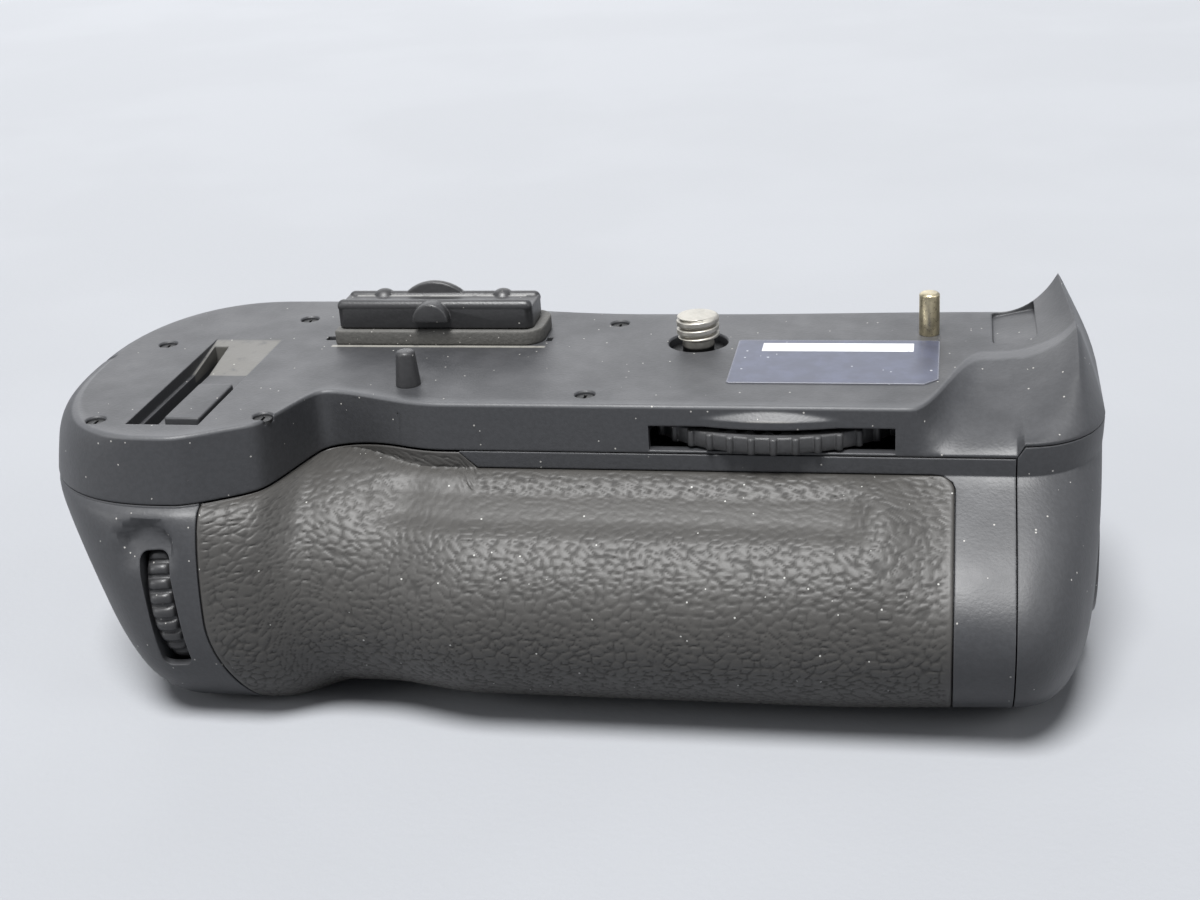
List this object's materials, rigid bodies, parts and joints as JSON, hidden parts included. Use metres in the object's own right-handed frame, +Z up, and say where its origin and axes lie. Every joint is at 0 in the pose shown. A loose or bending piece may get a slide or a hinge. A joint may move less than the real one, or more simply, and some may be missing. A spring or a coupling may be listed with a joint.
{
  "type": "camera battery grip",
  "caption": "Battery grip that screws under a camera: contoured rubber-covered hand grip, battery drawer, attachment wheel, dials and release.",
  "frame": {"origin": "on the camera screw's axis, in the plane of the top plate", "axes": "+X along the body towards the battery door, +Z up out of the top plate towards the camera, -Y the front with the hand grip"},
  "size_m": [0.1531, 0.0804, 0.0518],
  "materials": {
    "casing_plastic": "fine satin texture",
    "cover_rubber": "pebbled grain, worn smooth in the hollow",
    "control_plastic": "smooth satin",
    "black_insulator": "matt",
    "label_film": "printed film, bare",
    "brass_pin": "turned",
    "contact_gold": "plated",
    "screw_nickel": "nickel plated",
    "plain_steel": "plain",
    "board_green": "lacquered board",
    "tray_plastic": "moulded"
  },
  "bodies": {
    "housing": {"top_casing": "casing_plastic", "grip_casing": "casing_plastic", "front_rubber": "cover_rubber", "thumb_rubber": "cover_rubber", "label_plate": "label_film", "connector_collar": "casing_plastic", "contact_block": "black_insulator", "contact_pins": "contact_gold", "guide_post": "control_plastic", "alignment_pin": "brass_pin", "plate_screws": "plain_steel", "drive_plate": "plain_steel", "drive_screws": "plain_steel", "circuit_board": "board_green", "front_dial_shaft": "plain_steel", "rear_dial_shaft": "plain_steel", "shutter_switch": "black_insulator", "focus_switch": "black_insulator", "selector_base": "control_plastic", "chamber_terminals": "black_insulator", "tripod_socket": "screw_nickel", "base_screws": "plain_steel"},
    "screw": {"camera_screw": "screw_nickel", "screw_gear": "plain_steel", "screw_clip": "plain_steel"},
    "wheel": {"attachment_wheel": "control_plastic"},
    "cap": {"contact_cap": "control_plastic"},
    "front_dial_body": {"front_dial": "control_plastic"},
    "rear_dial_body": {"rear_dial": "control_plastic"},
    "release": {"shutter_button": "control_plastic"},
    "lock": {"lock_collar": "control_plastic"},
    "focus": {"focus_button": "control_plastic"},
    "gimbal": {"selector_gimbal": "plain_steel"},
    "selector": {"multi_selector": "control_plastic"},
    "drawer": {"battery_door": "casing_plastic", "battery_tray": "tray_plastic", "tray_springs": "screw_nickel", "tray_studs": "screw_nickel", "tray_terminals": "contact_gold", "tray_screws": "plain_steel"},
    "latch": {"latch_knob": "control_plastic", "latch_shaft": "plain_steel", "latch_bar": "plain_steel"},
    "key": {"latch_key": "control_plastic"}
  },
  "joints": [
    {"name": "wheel_turn", "type": "hinge", "parent": "housing", "child": "wheel", "pos_m": [0.0129, -0.0064, -0.005], "axis": [0, 0, 1], "continuous": true},
    {"name": "screw_turn", "type": "hinge", "parent": "housing", "child": "screw", "pos_m": [0, 0, -0.003], "axis": [0, 0, 1], "continuous": true},
    {"name": "cap_lift", "type": "slide", "parent": "housing", "child": "cap", "axis": [0, 0, 1], "range_m": [0, 0.02]},
    {"name": "front_dial_turn", "type": "hinge", "parent": "housing", "child": "front_dial_body", "pos_m": [-0.071, -0.0325, -0.0249], "axis": [0.9969, 0, 0.0785], "continuous": true},
    {"name": "rear_dial_turn", "type": "hinge", "parent": "housing", "child": "rear_dial_body", "pos_m": [-0.073, 0.0226, -0.025], "axis": [1, 0, 0], "continuous": true},
    {"name": "release_press", "type": "slide", "parent": "housing", "child": "release", "axis": [0.9136, 0.1122, 0.3907], "range_m": [0, 0.0012], "stiffness_N_per_m": 400, "springref_m": -0.001},
    {"name": "lock_turn", "type": "hinge", "parent": "housing", "child": "lock", "pos_m": [-0.089, -0.013, -0.024], "axis": [-0.9136, -0.1122, -0.3907], "range_deg": [0, 40]},
    {"name": "focus_press", "type": "slide", "parent": "housing", "child": "focus", "axis": [0, -0.6691, -0.7431], "range_m": [0, 0.0008], "stiffness_N_per_m": 400, "springref_m": -0.001},
    {"name": "selector_tilt_updown", "type": "hinge", "parent": "housing", "child": "gimbal", "pos_m": [-0.056, 0.0322, -0.031], "axis": [1, 0, 0], "range_deg": [-4, 4], "stiffness_Nm_per_rad": 0.05},
    {"name": "selector_tilt_sideways", "type": "hinge", "parent": "gimbal", "child": "selector", "pos_m": [-0.056, 0.0322, -0.031], "axis": [0, 0, 1], "range_deg": [-4, 4], "stiffness_Nm_per_rad": 0.05},
    {"name": "drawer_slide", "type": "slide", "parent": "housing", "child": "drawer", "axis": [1, 0, 0], "range_m": [0, 0.112]},
    {"name": "latch_turn", "type": "hinge", "parent": "drawer", "child": "latch", "pos_m": [0.046, -0.009, -0.0265], "axis": [1, 0, 0], "range_deg": [0, 90]},
    {"name": "key_fold", "type": "hinge", "parent": "latch", "child": "key", "pos_m": [0.05635, -0.009, -0.0265], "axis": [0, 0, -1], "range_deg": [0, 95]}
  ],
  "couplings": [
    {"joint": "screw_turn", "follows": "wheel_turn", "ratio": 4}
  ]
}
